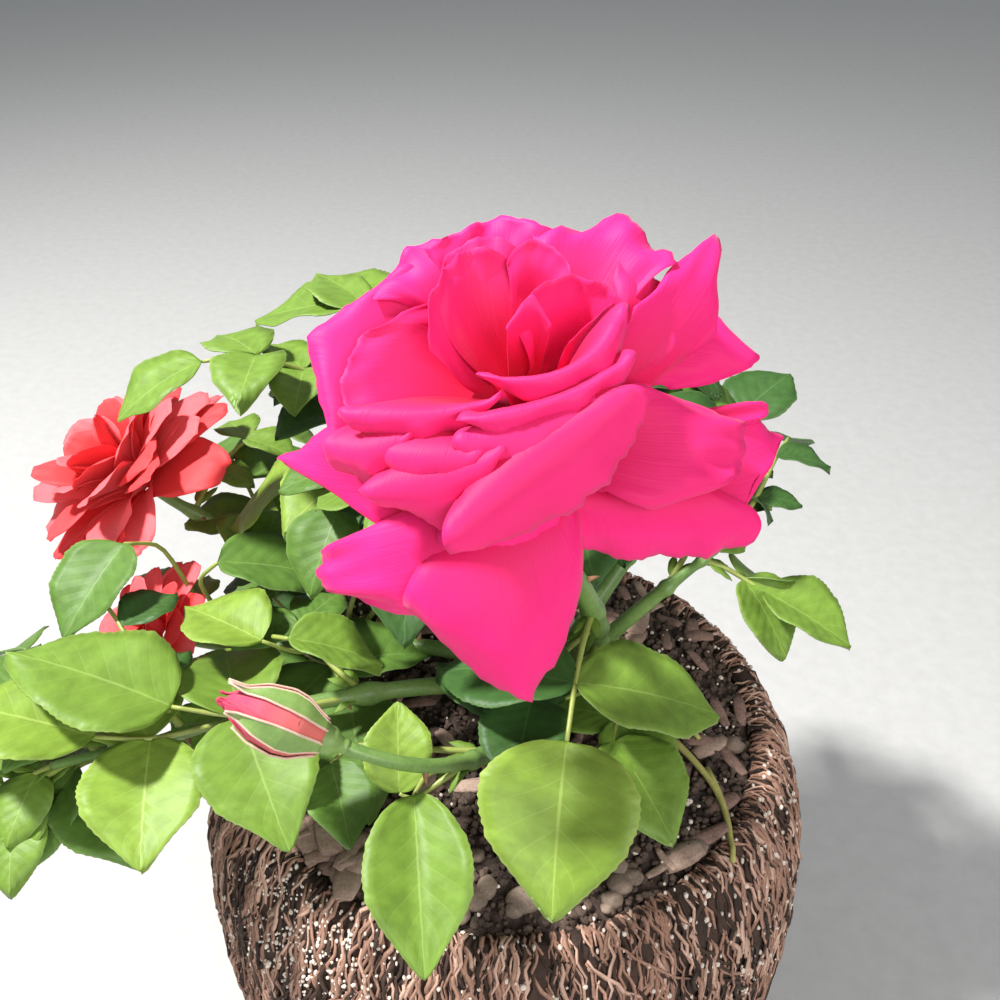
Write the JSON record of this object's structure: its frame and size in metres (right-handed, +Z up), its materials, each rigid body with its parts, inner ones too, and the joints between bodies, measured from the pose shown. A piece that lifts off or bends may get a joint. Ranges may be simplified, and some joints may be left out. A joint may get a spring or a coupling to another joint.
{
  "type": "rose bush in a pot",
  "caption": "Rose bush in a round fibre pot: canes from one crown, serrated compound leaves, a large open bloom, smaller red blooms and a bud.",
  "frame": {"origin": "middle of the pot's flat underside", "axes": "+Z up; -Y towards the viewer, the side that the large bloom leans to; +X to the viewer's right"},
  "size_m": [0.3369, 0.2853, 0.4296],
  "materials": {
    "pot_fibre": "matted brown plant fibre, dry and rough",
    "potting_soil": "crumbly potting soil with bark chips, white grains and grit",
    "crown_bark": "knobbly green-brown bark",
    "cane_bark": "smooth green young bark with thorns",
    "leaves": "semi-glossy leaf with fine veins",
    "pink_petals": "velvety petal with faint veins",
    "red_petals": "velvety petal with faint veins",
    "bud_petals": "tight petals in green sepals"
  },
  "bodies": {
    "root": {"fibre_pot": "pot_fibre", "soil_mound": "potting_soil", "crown": "crown_bark", "front_bough": "cane_bark", "bud_bough": "cane_bark", "right_bough": "cane_bark", "left_front_bough": "cane_bark", "lower_left_bough": "cane_bark", "upper_left_bough": "cane_bark", "back_left_bough": "cane_bark", "back_bough": "cane_bark", "back_right_bough": "cane_bark", "front_right_bough": "cane_bark", "main_bloom": "pink_petals", "upper_red_bloom": "red_petals", "lower_red_bloom": "red_petals", "rose_bud": "bud_petals", "front_foliage": "leaves", "bud_foliage": "leaves", "right_foliage": "leaves", "left_front_foliage": "leaves", "lower_left_foliage": "leaves", "upper_left_foliage": "leaves", "back_left_foliage": "leaves", "back_foliage": "leaves", "back_right_foliage": "leaves", "front_right_foliage": "leaves"}
  },
  "joints": []
}
